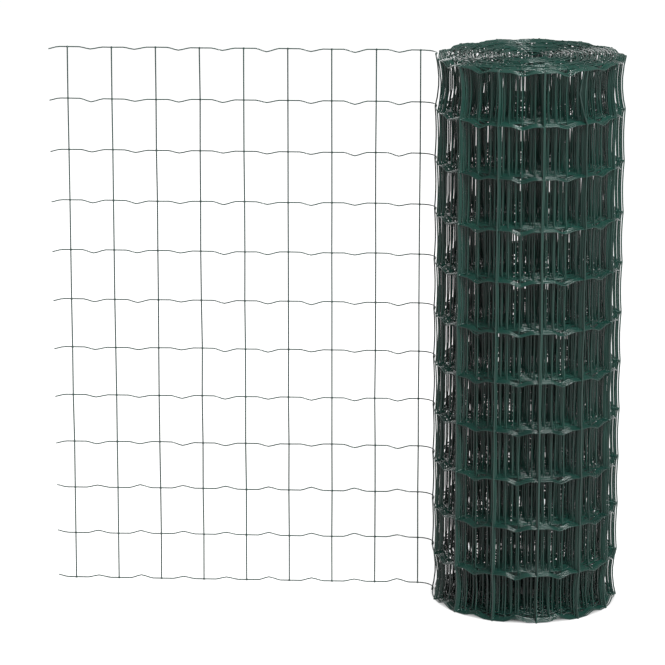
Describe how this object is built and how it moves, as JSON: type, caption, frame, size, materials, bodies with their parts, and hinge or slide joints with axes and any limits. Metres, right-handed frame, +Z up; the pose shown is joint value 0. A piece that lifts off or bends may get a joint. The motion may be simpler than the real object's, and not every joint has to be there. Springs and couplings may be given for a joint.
{
  "type": "roll of wire fencing",
  "caption": "Standing roll of green plastic-coated welded mesh fencing with crimped row wires, wound round an open core, its last length unrolled flat to one side to fence off a gap.",
  "frame": {"origin": "centre of the roll's core at the floor it stands on", "axes": "+Z up along the core, X along the unrolled end, which runs to -X, and -Y to the front that the picture shows"},
  "size_m": [1.0283, 0.3318, 1],
  "materials": {
    "coated_wire": "dark green plastic coating over steel wire, satin"
  },
  "bodies": {
    "root": {"roll": "coated_wire", "unrolled_end": "coated_wire"}
  },
  "joints": []
}
